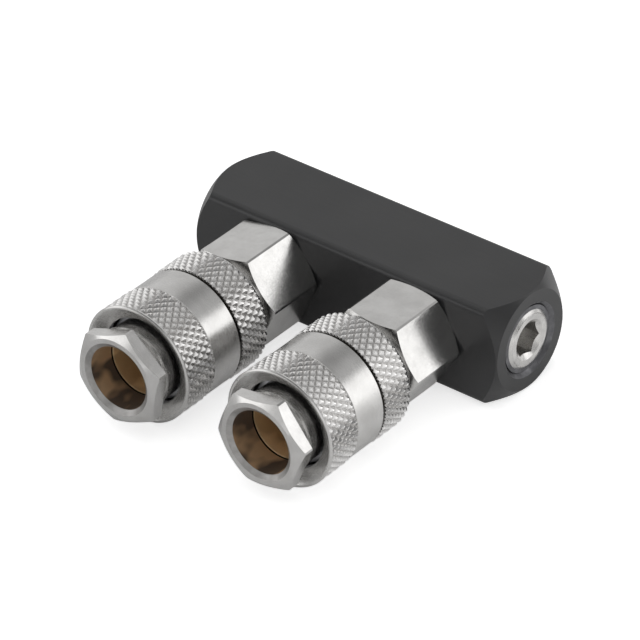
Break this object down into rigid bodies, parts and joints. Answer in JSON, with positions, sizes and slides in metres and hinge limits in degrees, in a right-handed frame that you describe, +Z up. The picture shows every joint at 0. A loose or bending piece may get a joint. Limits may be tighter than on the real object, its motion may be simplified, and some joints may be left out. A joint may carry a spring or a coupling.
{
  "type": "air hose splitter",
  "caption": "Compressed-air splitter: a square black manifold bar with a tapped inlet, an end plug and two knurled ball-lock quick couplers on one side.",
  "frame": {"origin": "centre of the inlet port's mouth, at the bar's left end", "axes": "+X along the bar from the inlet to the end plug, -Y out along the couplers, +Z up"},
  "size_m": [0.0684, 0.0646, 0.0232],
  "materials": {
    "black_anodised": "satin black anodised",
    "plug_steel": "satin",
    "nickel": "satin nickel plate on turned brass",
    "plain_brass": "turned brass",
    "spring_steel": "drawn wire",
    "ball_steel": "polished",
    "black_rubber": "matt"
  },
  "bodies": {
    "body": {"manifold_bar": "black_anodised", "end_plug": "plug_steel", "left_adaptor": "nickel", "left_port_seal": "black_rubber", "left_socket": "nickel", "left_sleeve_spring": "spring_steel", "left_stop_ring": "spring_steel", "left_plug_seal": "black_rubber", "left_valve_spring": "spring_steel", "right_adaptor": "nickel", "right_port_seal": "black_rubber", "right_socket": "nickel", "right_sleeve_spring": "spring_steel", "right_stop_ring": "spring_steel", "right_plug_seal": "black_rubber", "right_valve_spring": "spring_steel"},
    "left_sleeve_body": {"left_sleeve": "nickel"},
    "left_valve_body": {"left_valve": "plain_brass", "left_valve_seal": "black_rubber"},
    "left_ball_1_body": {"left_ball_1": "ball_steel"},
    "left_ball_2_body": {"left_ball_2": "ball_steel"},
    "left_ball_3_body": {"left_ball_3": "ball_steel"},
    "left_ball_4_body": {"left_ball_4": "ball_steel"},
    "left_ball_5_body": {"left_ball_5": "ball_steel"},
    "left_ball_6_body": {"left_ball_6": "ball_steel"},
    "right_sleeve_body": {"right_sleeve": "nickel"},
    "right_valve_body": {"right_valve": "plain_brass", "right_valve_seal": "black_rubber"},
    "right_ball_1_body": {"right_ball_1": "ball_steel"},
    "right_ball_2_body": {"right_ball_2": "ball_steel"},
    "right_ball_3_body": {"right_ball_3": "ball_steel"},
    "right_ball_4_body": {"right_ball_4": "ball_steel"},
    "right_ball_5_body": {"right_ball_5": "ball_steel"},
    "right_ball_6_body": {"right_ball_6": "ball_steel"}
  },
  "joints": [
    {"name": "left_sleeve_slide", "type": "slide", "parent": "body", "child": "left_sleeve_body", "axis": [0, 1, 0], "range_m": [0, 0.003], "stiffness_N_per_m": 1500, "springref_m": -0.004, "deforming": ["left_sleeve_spring"]},
    {"name": "left_valve_slide", "type": "slide", "parent": "body", "child": "left_valve_body", "axis": [0, 1, 0], "range_m": [0, 0.004], "stiffness_N_per_m": 800, "springref_m": -0.004, "deforming": ["left_valve_spring"]},
    {"name": "left_ball_1_slide", "type": "slide", "parent": "body", "child": "left_ball_1_body", "axis": [1, 0, 0], "range_m": [0, 0.0009]},
    {"name": "left_ball_2_slide", "type": "slide", "parent": "body", "child": "left_ball_2_body", "axis": [0.5, 0, 0.866], "range_m": [0, 0.0009]},
    {"name": "left_ball_3_slide", "type": "slide", "parent": "body", "child": "left_ball_3_body", "axis": [-0.5, 0, 0.866], "range_m": [0, 0.0009]},
    {"name": "left_ball_4_slide", "type": "slide", "parent": "body", "child": "left_ball_4_body", "axis": [-1, 0, 0], "range_m": [0, 0.0009]},
    {"name": "left_ball_5_slide", "type": "slide", "parent": "body", "child": "left_ball_5_body", "axis": [-0.5, 0, -0.866], "range_m": [0, 0.0009]},
    {"name": "left_ball_6_slide", "type": "slide", "parent": "body", "child": "left_ball_6_body", "axis": [0.5, 0, -0.866], "range_m": [0, 0.0009]},
    {"name": "right_sleeve_slide", "type": "slide", "parent": "body", "child": "right_sleeve_body", "axis": [0, 1, 0], "range_m": [0, 0.003], "stiffness_N_per_m": 1500, "springref_m": -0.004, "deforming": ["right_sleeve_spring"]},
    {"name": "right_valve_slide", "type": "slide", "parent": "body", "child": "right_valve_body", "axis": [0, 1, 0], "range_m": [0, 0.004], "stiffness_N_per_m": 800, "springref_m": -0.004, "deforming": ["right_valve_spring"]},
    {"name": "right_ball_1_slide", "type": "slide", "parent": "body", "child": "right_ball_1_body", "axis": [1, 0, 0], "range_m": [0, 0.0009]},
    {"name": "right_ball_2_slide", "type": "slide", "parent": "body", "child": "right_ball_2_body", "axis": [0.5, 0, 0.866], "range_m": [0, 0.0009]},
    {"name": "right_ball_3_slide", "type": "slide", "parent": "body", "child": "right_ball_3_body", "axis": [-0.5, 0, 0.866], "range_m": [0, 0.0009]},
    {"name": "right_ball_4_slide", "type": "slide", "parent": "body", "child": "right_ball_4_body", "axis": [-1, 0, 0], "range_m": [0, 0.0009]},
    {"name": "right_ball_5_slide", "type": "slide", "parent": "body", "child": "right_ball_5_body", "axis": [-0.5, 0, -0.866], "range_m": [0, 0.0009]},
    {"name": "right_ball_6_slide", "type": "slide", "parent": "body", "child": "right_ball_6_body", "axis": [0.5, 0, -0.866], "range_m": [0, 0.0009]}
  ],
  "couplings": [
    {"joint": "left_ball_1_slide", "follows": "left_sleeve_slide", "ratio": 0.3},
    {"joint": "left_ball_2_slide", "follows": "left_sleeve_slide", "ratio": 0.3},
    {"joint": "left_ball_3_slide", "follows": "left_sleeve_slide", "ratio": 0.3},
    {"joint": "left_ball_4_slide", "follows": "left_sleeve_slide", "ratio": 0.3},
    {"joint": "left_ball_5_slide", "follows": "left_sleeve_slide", "ratio": 0.3},
    {"joint": "left_ball_6_slide", "follows": "left_sleeve_slide", "ratio": 0.3},
    {"joint": "right_ball_1_slide", "follows": "right_sleeve_slide", "ratio": 0.3},
    {"joint": "right_ball_2_slide", "follows": "right_sleeve_slide", "ratio": 0.3},
    {"joint": "right_ball_3_slide", "follows": "right_sleeve_slide", "ratio": 0.3},
    {"joint": "right_ball_4_slide", "follows": "right_sleeve_slide", "ratio": 0.3},
    {"joint": "right_ball_5_slide", "follows": "right_sleeve_slide", "ratio": 0.3},
    {"joint": "right_ball_6_slide", "follows": "right_sleeve_slide", "ratio": 0.3}
  ]
}
